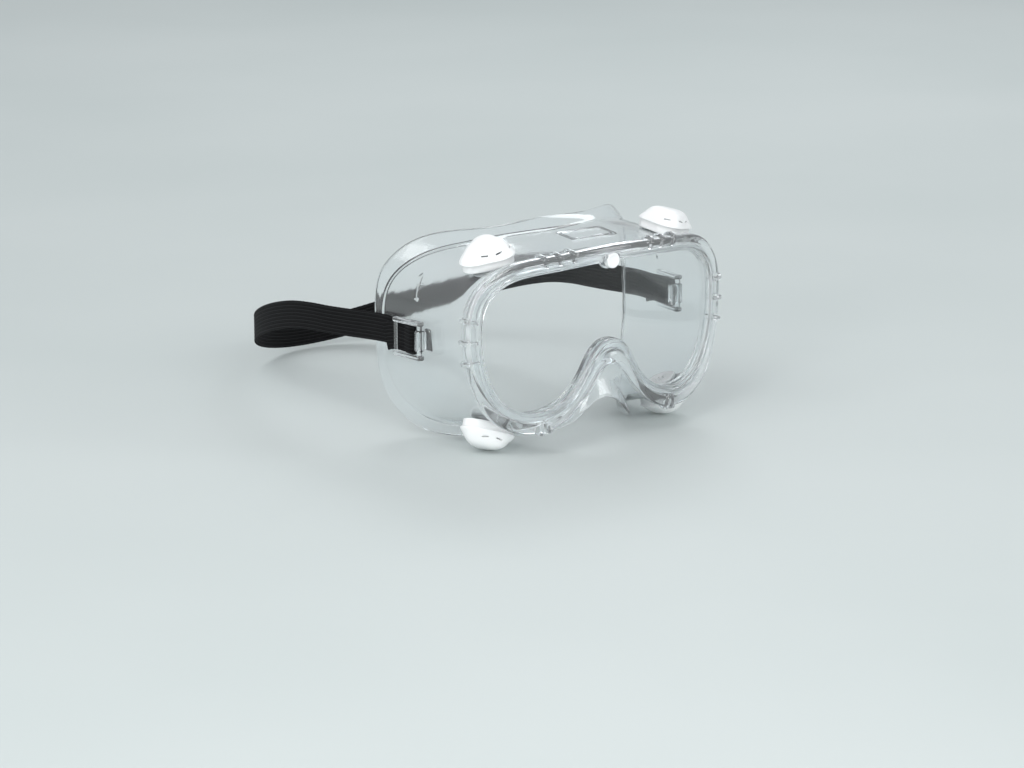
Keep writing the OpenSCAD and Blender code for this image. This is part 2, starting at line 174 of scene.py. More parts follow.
def rounded(points, radii, steps=CORNER_STEPS):
    """Rounds the corners of many closed sections at once: points is (stations, corners, 3).

    A corner with no radius stays one point, and any other becomes steps + 1 of them."""
    out = []
    count = points.shape[1]
    for j, radius in enumerate(radii):
        here = points[:, j]
        if radius == 0:
            out.append(here)
            continue
        to_a, to_b = points[:, j - 1] - here, points[:, (j + 1) % count] - here
        room = 0.45 * np.minimum(np.linalg.norm(to_a, axis=1), np.linalg.norm(to_b, axis=1))
        reach = np.minimum(radius, room)[:, None]
        a, b = here + unit(to_a) * reach, here + unit(to_b) * reach
        for t in np.linspace(0, 1, steps + 1):
            out.append((1 - t) ** 2 * a + 2 * t * (1 - t) * here + t ** 2 * b)
    return np.stack(out, 1)


def arc(centre, radius, start, end, count):
    a = np.radians(np.linspace(start, end, count))
    return [(centre[0] + radius * math.cos(t), centre[1] + radius * math.sin(t)) for t in a]


def soft_profile(corners, steps=5):
    """A closed profile with rounded corners, from (radius, height, rounding) triples."""
    p = np.array([[(r, h, 0) for r, h, _ in corners]], float)
    return rounded(p, [c[2] for c in corners], steps)[0][:, :2]


def lens_sag(x):
    return LENS_RADIUS - np.sqrt(LENS_RADIUS ** 2 - x ** 2)


# ---------------------------------------------------------------- meshes
def shade(obj, sharp):
    obj.data.shade_smooth()
    obj.data.set_sharp_from_angle(angle=math.radians(sharp))


def piece_from(name, verts, faces, matrix=Matrix.Identity(4), sharp=35):
    """A mesh object from points in millimetres, moved by matrix, with its faces turned outwards."""
    mesh = bpy.data.meshes.new(name)
    mesh.from_pydata([tuple(v) for v in verts], [], faces)
    mesh.transform(Matrix.Scale(MM, 4) @ TO_PART @ matrix)
    work = bmesh.new()
    work.from_mesh(mesh)
    bmesh.ops.remove_doubles(work, verts=work.verts, dist=1e-7)
    bmesh.ops.recalc_face_normals(work, faces=work.faces)
    work.to_mesh(mesh)
    work.free()
    obj = bpy.data.objects.new(name, mesh)
    bpy.context.scene.collection.objects.link(obj)
    shade(obj, sharp)
    return obj


def applied(obj):
    """Turns an object's modifiers into its mesh."""
    graph = bpy.context.evaluated_depsgraph_get()
    mesh = bpy.data.meshes.new_from_object(obj.evaluated_get(graph))
    old = obj.data
    obj.modifiers.clear()
    obj.data = mesh
    bpy.data.meshes.remove(old)


def cut(obj, others, operation, sharp=35):
    """Joins solids to an object, or cuts them out of it, and removes them."""
    for other in others:
        step = obj.modifiers.new("cut", "BOOLEAN")
        step.solver = "MANIFOLD"
        step.operation = operation
        step.object = other
    applied(obj)
    for other in others:
        bpy.data.objects.remove(other)
    shade(obj, sharp)
    return obj


def bevelled(obj, width, segments, steeper_than=40, sharp=35):
    """Rounds the edges whose faces meet at more than an angle in degrees."""
    step = obj.modifiers.new("bevel", "BEVEL")
    step.width = width * MM
    step.segments = segments
    step.limit_method = "ANGLE"
    step.angle_limit = math.radians(steeper_than)
    applied(obj)
    shade(obj, sharp)
    return obj


def ring_faces(i, k, m):
    """The faces between two rings of m points each, numbers i and k of a row of them."""
    return [(i * m + j, i * m + (j + 1) % m, k * m + (j + 1) % m, k * m + j) for j in range(m)]


def closed_skin(sections):
    """Points and faces of a skin over closed sections that follow each other round a loop."""
    n, m, _ = sections.shape
    faces = [face for i in range(n) for face in ring_faces(i, (i + 1) % n, m)]
    return sections.reshape(-1, 3), faces


def open_skin(sections):
    """The same over an open row of sections, with both ends closed."""
    n, m, _ = sections.shape
    faces = [face for i in range(n - 1) for face in ring_faces(i, i + 1, m)]
    faces += [tuple(range(m - 1, -1, -1)), tuple((n - 1) * m + j for j in range(m))]
    return sections.reshape(-1, 3), faces


def extruded(outline, low, high):
    """A prism on an outline of x and y, from low to high."""
    outline = np.array(outline, float)
    levels = [np.column_stack([outline, np.full(len(outline), z)]) for z in (low, high)]
    return open_skin(np.stack(levels))


AXIS_R = 0.01                 # a solid without a bore is turned from this close to its axis


def lathe(profile, segments=64):
    """A solid turned about Z from a closed profile of radius and height."""
    profile = np.array(profile, float)
    turn = np.linspace(0, 2 * math.pi, segments, endpoint=False)
    r, z = profile[:, 0], profile[:, 1]
    sections = [np.stack([r * math.cos(a), r * math.sin(a), z], 1) for a in turn]
    return closed_skin(np.stack(sections))


def rod(radius, low, high, matrix, segments=64):
    circle = arc((0, 0), radius, 0, 360 - 360 / segments, segments)
    return piece_from("rod", *extruded(circle, low, high), matrix)


def tube(path, radius, sides, closed=False, shares=1.0):
    """A round rod along a path. shares gives each point's share of the radius."""
    path = np.array(path, float)
    if closed:
        along = unit(np.roll(path, -1, 0) - np.roll(path, 1, 0))
    else:
        along = unit(np.gradient(path, axis=0))
    aslant = [0.31, 0.52, 0.79]         # a direction that no path here takes
    side = unit(np.cross(along, aslant))
    other = np.cross(along, side)
    turn = np.linspace(0, 2 * math.pi, sides, endpoint=False)[None, :, None]
    ring = side[:, None] * np.cos(turn) + other[:, None] * np.sin(turn)
    radii = radius * np.broadcast_to(shares, len(path))
    sections = path[:, None] + ring * radii[:, None, None]
    return closed_skin(sections) if closed else open_skin(sections)


# ---------------------------------------------------------------- the soft frame
opening, rim, crease, lip = Loop(OPENING), Loop(RIM), Loop(CREASE), Loop(LIP)
STATIONS_PER_POINT = 9

# Cross ribs on the rim: heights on its sides, and distances from the middle on its top and bottom
RIB_SIDE_Z, RIB_TOP_X, RIB_LOW_X = (13, 3, -6.8), (23, 30.5, 38), (34.5, 38.5)
RIB_HALF, RIB_RISE = 0.9, 1.5
RIB_ROOM = 1.0                # beside a rib, clear of the even stations
# A rib's shape across: distance from its middle, on a scale where RIB_EDGE is RIB_HALF away from
# it, and share of its rise
RIB_PROFILE = ((0, 1), (0.35, 1), (0.55, 0.85), (0.65, 0.45), (0.85, 0.08), (1.2, 0))
RIB_EDGE = 0.62

# The rim's face: how far back its parts lie, and their shares of the way out across it
STEP_BACK, FACE_BACK, LINE_BACK, BEAD_CREST_BACK = -2.2, -2.75, -1.75, -3.3
LINE_SHARE, RIB_CENTRE_SHARE, BEAD_CREST_SHARE = 0.43, 0.7, 0.74
# Shares of the way along the wall and the lip that get a point, and how far the lip bows out
WALL_SHARES = (0.1, 0.18, 0.26, 0.34, 0.42, 0.5, 0.58, 0.66, 0.74, 0.82, 0.9)
LIP_SHARES, LIP_BOW = (0.35, 0.6, 0.82), 0.35
CREASE_R = 5.0

# The lug's root, from inside the wall to the ring: distance from the hinge, half depth, half height
LUG_ROOT = [(6.4, 2.9, 5.5), (4.9, 2.7, 5.4), (4.55, 2.15, 5.0), (4.15, 1.7, 4.7), (3.5, 1.4, 4.5),
            (2.5, 1.3, 4.4), (1.45, 1.3, 4.4)]
LUG_SLIT_HALF = PIN_R * 0.55

# Blank plate on the top wall, drawn by two raised lines
PLATE_X, PLATE_Y, PLATE_CORNER = (-4, 22), (20.5, 33.5), 1.2
PLATE_LINE_GAP, PLATE_LINE_R = 1.5, 0.32

# Slender rib on each side wall, above the buckle
SIDE_RIB_Z, SIDE_RIB_Y, SIDE_RIB_LEAN = (27, 13), 47.88, 0.08
SIDE_RIB_R, SIDE_RIB_SUNK, SIDE_RIB_END = 0.95, 0.55, 0.35

# The tab behind the lens that the stud holds on to, and the play round the stud
TAB_MARGIN, TAB_FRONT, TAB_BACK, TAB_BORE = 0.8, 1.8, 3.8, 0.6     # its bore is cut wider later
STUD_HEAD_PLAY, STUD_SHANK_PLAY = 0.3, 0.1
STUD = Matrix.Translation((0, 0, STUD_Z)) @ Matrix.Rotation(math.radians(-90), 4, "X")


def rib_places():
    """Loop places of the ribs on the left half of the rim."""
    s = np.linspace(0, 19, 3801)
    p = rim.at(s)
    top, side, low = s < 4, (s > 4) & (s < 11), (s > 11) & (s < 15)
    places = [s[side][np.argmin(abs(p[side, 1] - z))] for z in RIB_SIDE_Z]
    places += [s[top][np.argmin(abs(p[top, 0] - x))] for x in RIB_TOP_X]
    places += [s[low][np.argmin(abs(p[low, 0] - x))] for x in RIB_LOW_X]
    return places


def stations():
    """Loop places of all stations, closer together at the ribs, and how far a rib rises at each."""
    count = len(rim.p)
    base = np.arange(count * STATIONS_PER_POINT) / STATIONS_PER_POINT
    rises = {s: 0.0 for s in base}
    for place in rib_places():
        for centre in (place, count - place):
            speed = np.linalg.norm(rim.at([centre + 0.01]) - rim.at([centre - 0.01])) / 0.02
            for s in base:
                if abs(s - centre) * speed < RIB_HALF + RIB_ROOM:
                    rises.pop(s, None)
            for offset, rise in RIB_PROFILE:
                for sign in (-1, 1):
                    rises[centre + sign * offset * RIB_HALF / RIB_EDGE / speed] = rise
    order = sorted(rises)
    return np.array(order), np.array([rises[s] for s in order])


def frame_sections():
    """Sections of the frame, one at each station round its loop.

    A section starts at the opening's front edge, goes out over the rim's face and bead and back
    along the outside of the wall to the edge of the seal, and returns inside to the lens groove."""
    s, rise = stations()
    e, r, c, l = opening.at(s), rim.at(s), crease.at(s), lip.at(s)
    w = np.linalg.norm(r - e, axis=1)
    d = (r - e) / w[:, None]

    def at(out, back):
        x = e[:, 0] + d[:, 0] * out
        return np.stack([x, lens_sag(x) + back, e[:, 1] + d[:, 1] * out], 1)

    def inward(a, b):
        out = (b[:, 0] - a[:, 0]) * d[:, 0] + (b[:, 2] - a[:, 2]) * d[:, 1]
        back = b[:, 1] - a[:, 1]
        return unit(np.stack([-back * d[:, 0], out, -back * d[:, 1]], 1))

    def bow(t):
        return LIP_BOW * math.sin(math.pi * t)

    foot = at(w - WALL_INSET, BEAD_BACK + 0.6)
    in_foot, in_lip = inward(foot, c), inward(c, l)
    in_crease = unit(in_foot + in_lip)
    line = LINE_SHARE * w
    groove_back, groove_out = LENS_THICKNESS + GROOVE_GAP, LENS_GRIP + 0.2
    corners, radii = [], []

    def add(point, radius=0.0):
        corners.append(point)
        radii.append(radius)

    add(at(0, -GROOVE_GAP), 0.15)
    add(at(0, STEP_BACK), 0.7)
    add(at(1.5, STEP_BACK - 0.1), 0.25)
    add(at(1.9, FACE_BACK), 0.3)
    add(at(line - 0.6, FACE_BACK), 0.3)
    add(at(line, LINE_BACK), 0.25)
    rib_from = len(radii)
    add(at(line + 0.45, FACE_BACK), 0.5)
    add(at(w * BEAD_CREST_SHARE, BEAD_CREST_BACK), 1.5)
    add(at(w - 0.2, -2.6), 2.0)
    add(at(w, 0.2), 1.4)
    add(at(w - 0.5, BEAD_BACK - 0.9), 1.2)
    rib_to = len(radii)
    add(at(w - WALL_INSET + 0.3, BEAD_BACK + 0.1), 0.4)
    for t in WALL_SHARES:
        add(foot * (1 - t) + c * t)
    add(c, CREASE_R)
    for t in LIP_SHARES:
        add(c * (1 - t) + l * t - in_lip * bow(t))
    add(l, 0.5)
    add(l + LIP_THICKNESS * in_lip, 0.5)
    for t in LIP_SHARES[::-1]:
        thick = WALL * (1 - t) + LIP_THICKNESS * t
        add(c * (1 - t) + l * t + in_lip * (thick - bow(t)))
    add(c + WALL * in_crease, CREASE_R)
    for t in WALL_SHARES[::-1]:
        add(foot * (1 - t) + c * t + WALL * in_foot)
    add(foot + WALL * in_foot, 0.8)
    add(at(0.8, RIM_BACK), 0.7)
    add(at(0, RIM_BACK - 0.9), 0.5)
    add(at(0, groove_back), 0.1)
    add(at(groove_out, groove_back), 0.1)
    add(at(groove_out, -GROOVE_GAP), 0.1)
    sections = rounded(np.stack(corners, 1), radii)

    # A rib stands up over the bead, from the line in the face to the back of the rim
    points_at = [CORNER_STEPS + 1 if radius else 1 for radius in radii]
    lift = np.zeros(sections.shape[:2])
    lift[:, sum(points_at[:rib_from]):sum(points_at[:rib_to])] = RIB_RISE * rise[:, None]
    away = sections - at(w * RIB_CENTRE_SHARE, 0.0)[:, None]
    return sections + unit(away) * lift[..., None]


def on_wall(tree, points, direction):
    """Drops points, in millimetres, onto the frame along a direction."""
    found = []
    for p in points:
        hit = tree.ray_cast((TO_PART @ Vector(p)) * MM, Vector(direction))[0]
        found.append(TO_PART.inverted() @ (hit / MM))
    return found


def plate_outline():
    """Points close together round the blank plate, seen from above."""
    (left, right), (front, back), r = PLATE_X, PLATE_Y, PLATE_CORNER
    loop = []
    for i, corner in enumerate([(right - r, back - r), (left + r, back - r), (left + r, front + r),
                                (right - r, front + r)]):
        loop += arc(corner, r, 90 * i, 90 * i + 90, 7)
    loop = np.array(loop + loop[:1])
    dense = []
    for a, b in zip(loop, loop[1:]):
        n = max(1, round(np.linalg.norm(b - a) / 0.9))
        dense += [a + (b - a) * k / n for k in range(n)]
    return np.array(dense)


def plate_lines(tree):
    outline = plate_outline()
    middle, half = np.mean([PLATE_X, PLATE_Y], 1), np.ptp([PLATE_X, PLATE_Y], 1) / 2
    for inset in (0.0, PLATE_LINE_GAP):
        ring = middle + (outline - middle) * (half - inset) / half
        line = on_wall(tree, [(x, y, 60) for x, y in ring], (0, 0, -1))
        yield piece_from("line", *tube(line, PLATE_LINE_R, 8, closed=True))


def side_rib(tree, flip):
    """A rib sunk into the side wall, which fades away at both ends."""
    heights = np.linspace(*SIDE_RIB_Z, 40)
    outside = [(flip * 90, SIDE_RIB_Y + SIDE_RIB_LEAN * z, z) for z in heights]
    line = on_wall(tree, outside, (-flip, 0, 0))
    sunk = [p - Vector((flip * SIDE_RIB_SUNK, 0, 0)) for p in line]
    swell = np.sin(np.linspace(0, math.pi, len(heights))) ** 1.1
    shares = SIDE_RIB_END + (1 - SIDE_RIB_END) * swell
    return piece_from("rib", *tube(sunk, SIDE_RIB_R, 32, shares=shares))


def lug_parts(side):
    """The split ring that holds a buckle's bar, and its root on the wall."""
    outer, bore = PIN_R + PIN_CLEARANCE + LUG_WALL, PIN_R + PIN_CLEARANCE
    a_out, a_in = (math.degrees(math.asin(LUG_SLIT_HALF / r)) for r in (outer, bore))
    outline = arc(HINGE[:2], outer, -90 + a_out, 270 - a_out, 40)
    outline += arc(HINGE[:2], bore, 270 - a_in, -90 + a_in, 32)
    low, high = HINGE[2] - LUG_HEIGHT / 2, HINGE[2] + LUG_HEIGHT / 2
    ring = piece_from("ring", *extruded(outline, low, high), SIDES[side])
    corners = ((-1, -1), (1, -1), (1, 1), (-1, 1))
    blocks = np.array([[HINGE + (-inward, y * half_y, z * half_z) for y, z in corners]
                       for inward, half_y, half_z in LUG_ROOT])
    root = piece_from("root", *open_skin(rounded(blocks, [1.2] * 4, 6)), SIDES[side], 60)
    return [bevelled(ring, 0.3, 4), root]


def vent_matrix(side, lower):
    """Places a vent's parts: +Z out of the wall, +X away from the nose, +Y to the back."""
    place, out, forward = VENT_LOWER if lower else VENT_UPPER
    up_or_down = Matrix.Scale(-1 if lower else 1, 4, (0, 0, 1))
    turn = Euler((math.radians(forward), math.radians(out), 0), "XYZ").to_matrix().to_4x4()
    return SIDES[side] @ Matrix.Translation(place) @ up_or_down @ turn


def make_frame():
    """The moulding with its raised lines, ribs, lugs and tab, and the holes for vents and stud."""
    body = piece_from("soft_frame", *closed_skin(frame_sections()))
    tree = BVHTree.FromObject(body, bpy.context.evaluated_depsgraph_get())
    extra = list(plate_lines(tree))
    for side, flip in FLIP.items():
        extra += [side_rib(tree, flip), *lug_parts(side)]
    tab_r = STUD_HEAD_R + TAB_MARGIN
    tab = soft_profile([(TAB_BORE, TAB_FRONT, 0), (tab_r, TAB_FRONT, 0.1), (tab_r, TAB_BACK, 0.5),
                        (TAB_BORE, TAB_BACK, 0)])
    extra.append(piece_from("tab", *lathe(tab), STUD))
    cut(body, extra, "UNION")
    # Each cutter reaches well past the wall on both sides, apart from the seat of the stud's head
    holes = [rod(PORT_R, -6, 4, vent_matrix(side, lower))
             for side in SIDES for lower in (False, True)]
    holes.append(rod(STUD_HEAD_R + STUD_HEAD_PLAY, -8, LENS_THICKNESS / 2, STUD))
    holes.append(rod(STUD_SHANK_R + STUD_SHANK_PLAY, -1, 7, STUD))
    return cut(body, holes, "DIFFERENCE", 40)


# ---------------------------------------------------------------- lens
LENS_EASE, HOLE_EASE = 0.3, 0.15        # how far the sheet's edges are eased
LENS_GRID, LENS_GRID_HALF = 2.5, (75, 45)
CLEAR_OF_EDGE, CLEAR_OF_STUD = 1.6, 3   # where the grid's points stop
STUD_AT = np.array([0, STUD_Z])


def within(p, outline):
    """Whether a point lies inside a closed outline."""
    a, b = outline, np.roll(outline, -1, 0)
    crossing = (a[:, 1] > p[1]) != (b[:, 1] > p[1])
    slope = (b[:, 0] - a[:, 0]) / np.where(b[:, 1] == a[:, 1], 1e-9, b[:, 1] - a[:, 1])
    return np.sum(crossing & (p[0] < a[:, 0] + slope * (p[1] - a[:, 1]))) % 2 == 1


def lens_net(edge, hole):
    """Even triangles between the lens's edge and the stud's hole, seen from the front.

    Gives the points, the triangles, and each edge and hole point's place among the points."""
    inside = []
    for x in np.arange(-LENS_GRID_HALF[0], LENS_GRID_HALF[0] + 0.1, LENS_GRID):
        for z in np.arange(-LENS_GRID_HALF[1], LENS_GRID_HALF[1] + 0.1, LENS_GRID):
            p = np.array([x, z])
            from_edge = np.min(np.linalg.norm(edge - p, axis=1))
            if from_edge > CLEAR_OF_EDGE and np.linalg.norm(p - STUD_AT) > CLEAR_OF_STUD:
                inside.append(p)
    n, m = len(edge), len(hole)
    loops = [(i, (i + 1) % n) for i in range(n)] + [(n + i, n + (i + 1) % m) for i in range(m)]
    given = [Vector(p) for p in np.vstack([edge, hole, inside])]
    net = geometry.delaunay_2d_cdt(given, loops, [], 0, 1e-6)
    points = np.array([tuple(v) for v in net[0]])
    hole_r = np.linalg.norm(hole[0] - STUD_AT)
    kept = []
    for triangle in net[2]:
        middle = points[list(triangle)].mean(0)
        if within(middle, edge) and np.linalg.norm(middle - STUD_AT) > hole_r * 0.99:
            kept.append(tuple(triangle))
    where = {source: i for i, sources in enumerate(net[3]) for source in sources}
    return points, kept, [where[i] for i in range(n)], [where[n + i] for i in range(m)]


def make_lens():
    """A curved sheet with eased edges and a hole for the stud."""
    s = np.arange(0, len(opening.p), 1 / 6)
    e = opening.at(s)
    outward = unit(rim.at(s) - e)
    turn = np.linspace(0, 2 * math.pi, 32, endpoint=False)
    circle = np.stack([np.cos(turn), np.sin(turn)], 1)
    hole_r = STUD_SHANK_R + STUD_SHANK_PLAY

    def lifted(p, back):
        return np.column_stack([p[:, 0], lens_sag(p[:, 0]) + back, p[:, 1]])

    points, triangles, edge, hole = lens_net(e + outward * (LENS_GRIP - LENS_EASE),
                                             STUD_AT + circle * (hole_r + HOLE_EASE))
    count = len(points)
    verts = [lifted(points, 0.0), lifted(points, LENS_THICKNESS)]
    faces = triangles + [tuple(i + count for i in t[::-1]) for t in triangles]
    base = 2 * count
    for front, ring, ease in ((edge, e + outward * LENS_GRIP, LENS_EASE),
                              (hole, STUD_AT + circle * hole_r, HOLE_EASE)):
        chain = [front]
        for back in (ease, LENS_THICKNESS - ease):
            verts.append(lifted(ring, back))
            chain.append(list(range(base, base + len(ring))))
            base += len(ring)
        chain.append([i + count for i in front])
        for a, b in zip(chain, chain[1:]):
            for i in range(len(a)):
                k = (i + 1) % len(a)
                faces.append((a[i], a[k], b[k], b[i]))
    return piece_from("lens_sheet", np.vstack(verts), faces, sharp=50)


# ---------------------------------------------------------------- vents and stud
# A cap's outside from its foot to its crown: share of its full size, and height
CAP_OUTER = [
    (0.9, 0.2), (0.92, 0.4), (0.925, 2.0), (0.93, 3.6), (0.955, 3.95), (0.99, 4.1), (1.0, 4.3),
    (0.995, 4.6), (0.97, 5.1), (0.92, 5.9), (0.86, 6.9), (0.79, 8.0), (0.73, 8.9), (0.67, 9.7),
    (0.6, 10.35), (0.52, 10.85), (0.43, 11.2), (0.32, 11.38), (0.2, 11.47), (0.08, 11.5)]
CAP_CORNER, CAP_SQUASH = 0.13, 0.9
WINDOW_ANGLES, WINDOW_HALF, WINDOW_Z = (30, 90, 150), (9, 1.6), (1.4, 3.6)
SLOT_ANGLES, SLOT_AT, SLOT_LEAN = (-130, -90, -50, 50, 90, 130), (0.83, 7.3), 53
SLOT_HALF_LENGTH, SLOT_R, SLOT_DEPTH = 1.25, 0.38, (-2.2, 2.5)
STEM_R = PORT_R - 0.1

BAFFLE_MARGIN, PLUG_HEIGHT, PLUG_WALL, PLUG_PLAY = 1.5, 2.4, 1.0, 0.05
BAFFLE_HOLES, BAFFLE_HOLE_R, BAFFLE_HOLE_OUT = 6, 0.62, 2.2

STUD_LENGTH, STUD_TIP_R, STUD_DIMPLE = 3.6, STUD_SHANK_R - 0.5, 0.25
STUD_CAP_FRONT, STUD_CAP_THICKNESS = 2.15, 1.2


def cap_ring(share, height, count=96):
    """A ring of the caps' rounded triangular shape."""
    a = np.linspace(0, 2 * math.pi, count, endpoint=False)
    r = CAP_LENGTH / 2 * share * (1 + CAP_CORNER * np.cos(3 * a))
    return np.stack([r * np.cos(a), r * np.sin(a) * CAP_SQUASH, np.full(count, height)], 1)


def make_cap(side, lower):
    """A hollow cap with a stepped skirt, slots in its flank and a tube that plugs into the wall."""
    inner_share = 1 - CAP_WALL / (CAP_LENGTH / 2)
    rings = [cap_ring(share, z) for share, z in CAP_OUTER]
    rings += [cap_ring(share * inner_share, z - CAP_WALL * 0.9 * min(1, z / 3))
              for share, z in CAP_OUTER[::-1]]
    verts, faces = closed_skin(np.stack(rings))
    m, top = len(rings[0]), len(CAP_OUTER) - 1
    # The crown is closed outside and inside, where the skin would go straight from one to the other
    faces = [face for face in faces if face[0] // m != top]
    faces.append(tuple(top * m + j for j in range(m)))
    faces.append(tuple((top + 1) * m + j for j in range(m - 1, -1, -1)))
    place = vent_matrix(side, lower)
    name = f"vent_cap_{'lower' if lower else 'upper'}_{side}_shell"
    cap = piece_from(name, verts, faces, place, 45)
    stem_top = CAP_HEIGHT - 2 * CAP_WALL
    stem = soft_profile([(STEM_R - STEM_WALL, -BAFFLE_DEPTH, 0.2), (STEM_R, -BAFFLE_DEPTH, 0.3),
                         (STEM_R, stem_top, 0), (STEM_R - STEM_WALL, stem_top, 0)])
    cut(cap, [piece_from("stem", *lathe(stem), place)], "UNION", 45)
    cutters = []
    for a in WINDOW_ANGLES:
        turn = place @ Matrix.Rotation(math.radians(a), 4, "Z")
        x, y = WINDOW_HALF
        block = [(-x, -y), (x, -y), (x, y), (-x, y)]
        cutters.append(piece_from("window", *extruded(block, *WINDOW_Z), turn))
    for a in SLOT_ANGLES:
        on_flank = cap_ring(*SLOT_AT, 360)[a % 360]
        turn = (place @ Matrix.Translation(on_flank) @ Matrix.Rotation(math.radians(a), 4, "Z")
                @ Matrix.Rotation(math.radians(SLOT_LEAN), 4, "Y"))
        slot = arc((0, SLOT_HALF_LENGTH), SLOT_R, 0, 180, 9)
        slot += arc((0, -SLOT_HALF_LENGTH), SLOT_R, 180, 360, 9)
        cutters.append(piece_from("slot", *extruded(slot, *SLOT_DEPTH), turn))
    return cut(cap, cutters, "DIFFERENCE", 45)


def make_baffle(side, lower):
    """The disc that clips into a cap's tube from inside, with six holes and a hollow plug."""
    plug_r = STEM_R - STEM_WALL - PLUG_PLAY
    disc_r, disc_top, top = PORT_R + BAFFLE_MARGIN, BAFFLE_PLATE - 0.05, BAFFLE_PLATE + PLUG_HEIGHT
    profile = soft_profile([
        (AXIS_R, 0.0, 0), (disc_r, 0.0, 0.4), (disc_r, disc_top, 0.25), (plug_r, disc_top, 0.1),
        (plug_r, top, 0.25), (plug_r - PLUG_WALL, top, 0.25),
        (plug_r - PLUG_WALL, BAFFLE_PLATE, 0.3), (AXIS_R, BAFFLE_PLATE, 0)])
    place = vent_matrix(side, lower) @ Matrix.Translation((0, 0, -BAFFLE_DEPTH - BAFFLE_PLATE))
    name = f"vent_baffle_{'lower' if lower else 'upper'}_{side}_disc"
    disc = piece_from(name, *lathe(profile), place)
    out = Matrix.Translation((BAFFLE_HOLE_OUT, 0, 0))
    holes = []
    for k in range(BAFFLE_HOLES):
        turn = Matrix.Rotation(math.radians(k * 360 / BAFFLE_HOLES), 4, "Z")
        holes.append(rod(BAFFLE_HOLE_R, -1, 4, place @ turn @ out, 24))
    return cut(disc, holes, "DIFFERENCE")


def make_stud():
    """A shank with a flat head, which has a shallow dimple in front."""
    back = LENS_THICKNESS + GROOVE_GAP + STUD_LENGTH
    dimple = -STUD_HEAD_H + STUD_DIMPLE
    profile = soft_profile([
        (AXIS_R, dimple, 0), (STUD_HEAD_R * 0.55, dimple, 0.3),
        (STUD_HEAD_R * 0.66, -STUD_HEAD_H, 0.3), (STUD_HEAD_R, -STUD_HEAD_H, 0.6),
        (STUD_HEAD_R, -0.05, 0.25), (STUD_SHANK_R, -0.05, 0.1),
        (STUD_SHANK_R, back - 0.8, 0.2), (STUD_TIP_R, back, 0.2), (AXIS_R, back, 0)])
    return piece_from("lens_stud_snap", *lathe(profile), STUD)


def make_stud_cap():
    """The ring on the stud's shank, behind the frame's tab."""
    front = LENS_THICKNESS + GROOVE_GAP + STUD_CAP_FRONT
    back, bore = front + STUD_CAP_THICKNESS, STUD_SHANK_R + 0.05
    profile = soft_profile([
        (bore, front, 0.1), (STUD_HEAD_R - 0.2, front, 0.25), (STUD_HEAD_R - 0.8, back, 0.35),
        (bore, back, 0.15)])
    return piece_from("lens_stud_ring", *lathe(profile), STUD)


# ---------------------------------------------------------------- buckles
BUCKLE_PLAY, RAIL_FRONT_R, RAIL_REAR_R, BAR_INSET = 0.9, 2.0, REAR_BAR_R + 0.65, 0.5


def make_buckle(side):
    """Two side rails with a hinge bar, a bar that the band wraps and a rear bar."""
    window = BAND_WIDTH + BUCKLE_PLAY
    rail = (BUCKLE_HEIGHT - window) / 2
    hinge = SIDES[side] @ Matrix.Translation(HINGE)
    lean = math.degrees(math.atan2(REAR_BAR_X, BUCKLE_LENGTH))
    outline = arc((0, 0), RAIL_FRONT_R, 180 - lean, 360 - lean, 16)
    outline += arc((REAR_BAR_X, BUCKLE_LENGTH), RAIL_REAR_R, -lean, 180 - lean, 14)
    rails = [bevelled(piece_from("rail", *extruded(outline, low, low + rail), hinge), 0.4, 4)
             for low in (-BUCKLE_HEIGHT / 2, window / 2)]
    end = BUCKLE_HEIGHT / 2 - BAR_INSET
    hinge_bar = rod(PIN_R, -end, end, hinge, 40)
    rear = hinge @ Matrix.Translation((REAR_BAR_X, BUCKLE_LENGTH, 0))
    rear_bar = rod(REAR_BAR_R, -end, end, rear, 32)
    r = WRAP_BAR[1] / 2
    flat = WRAP_BAR[0] / 2 - r
    oval = arc((flat, 0), r, -90, 90, 14) + arc((-flat, 0), r, 90, 270, 14)
    wrap_bar = piece_from("bar", *extruded(oval, -end, end),
                          hinge @ Matrix.Translation((WRAP_BAR_X, WRAP_BAR_Y, 0)))
    buckle = rails[0]
    buckle.name = f"buckle_{side}_frame"
    return cut(buckle, [rails[1], hinge_bar, rear_bar, wrap_bar], "UNION")


# ---------------------------------------------------------------- headband
RIBS, POINTS_PER_RIB, RIB_TROUGH = 8, 6, 0.7    # a trough's share of the band's thickness
SELVEDGE, SELVEDGE_HALF = 0.03, 0.2             # how far the edge is eased, and its half thickness
STRAP_UV = "weave"
# The edges waver a little: each wave's share, turn in radians per millimetre, and start
RIPPLES = ((1.0, 2.1, 0.0), (0.6, 3.7, 1.0))
BAND_RIPPLE, TAIL_RIPPLE = 0.05, 0.14
WRAP_PLAY = 0.15                                # between the bar and the band round it
BAND_STEP = 0.9                                 # from one section of the band to the next
SEAM_Y = 100.0                                  # where the side runs meet the back
TAIL_OUT = 0.25                                 # how far a tail's end stands out
TAIL_WEAVE_START = 400                          # where its weave and ripples start


def ribbon_section():
    """The outline of a ribbed ribbon: place across it, and place through its thickness."""
    t = np.linspace(-1, 1, RIBS * POINTS_PER_RIB + 1)[1:-1]
    crest = 0.5 + 0.5 * np.cos(2 * math.pi * RIBS * (t + 1) / 2 + math.pi)
    thick = BAND_THICKNESS / 2 * (RIB_TROUGH + (1 - RIB_TROUGH) * crest)
    edge = BAND_WIDTH / 2
    eased = edge - SELVEDGE
    top = np.column_stack([t * edge, thick])
    end = np.array([[eased, SELVEDGE_HALF], [edge, 0.0], [eased, -SELVEDGE_HALF]])
    return np.vstack([top, end, top[::-1] * [1, -1], -end])


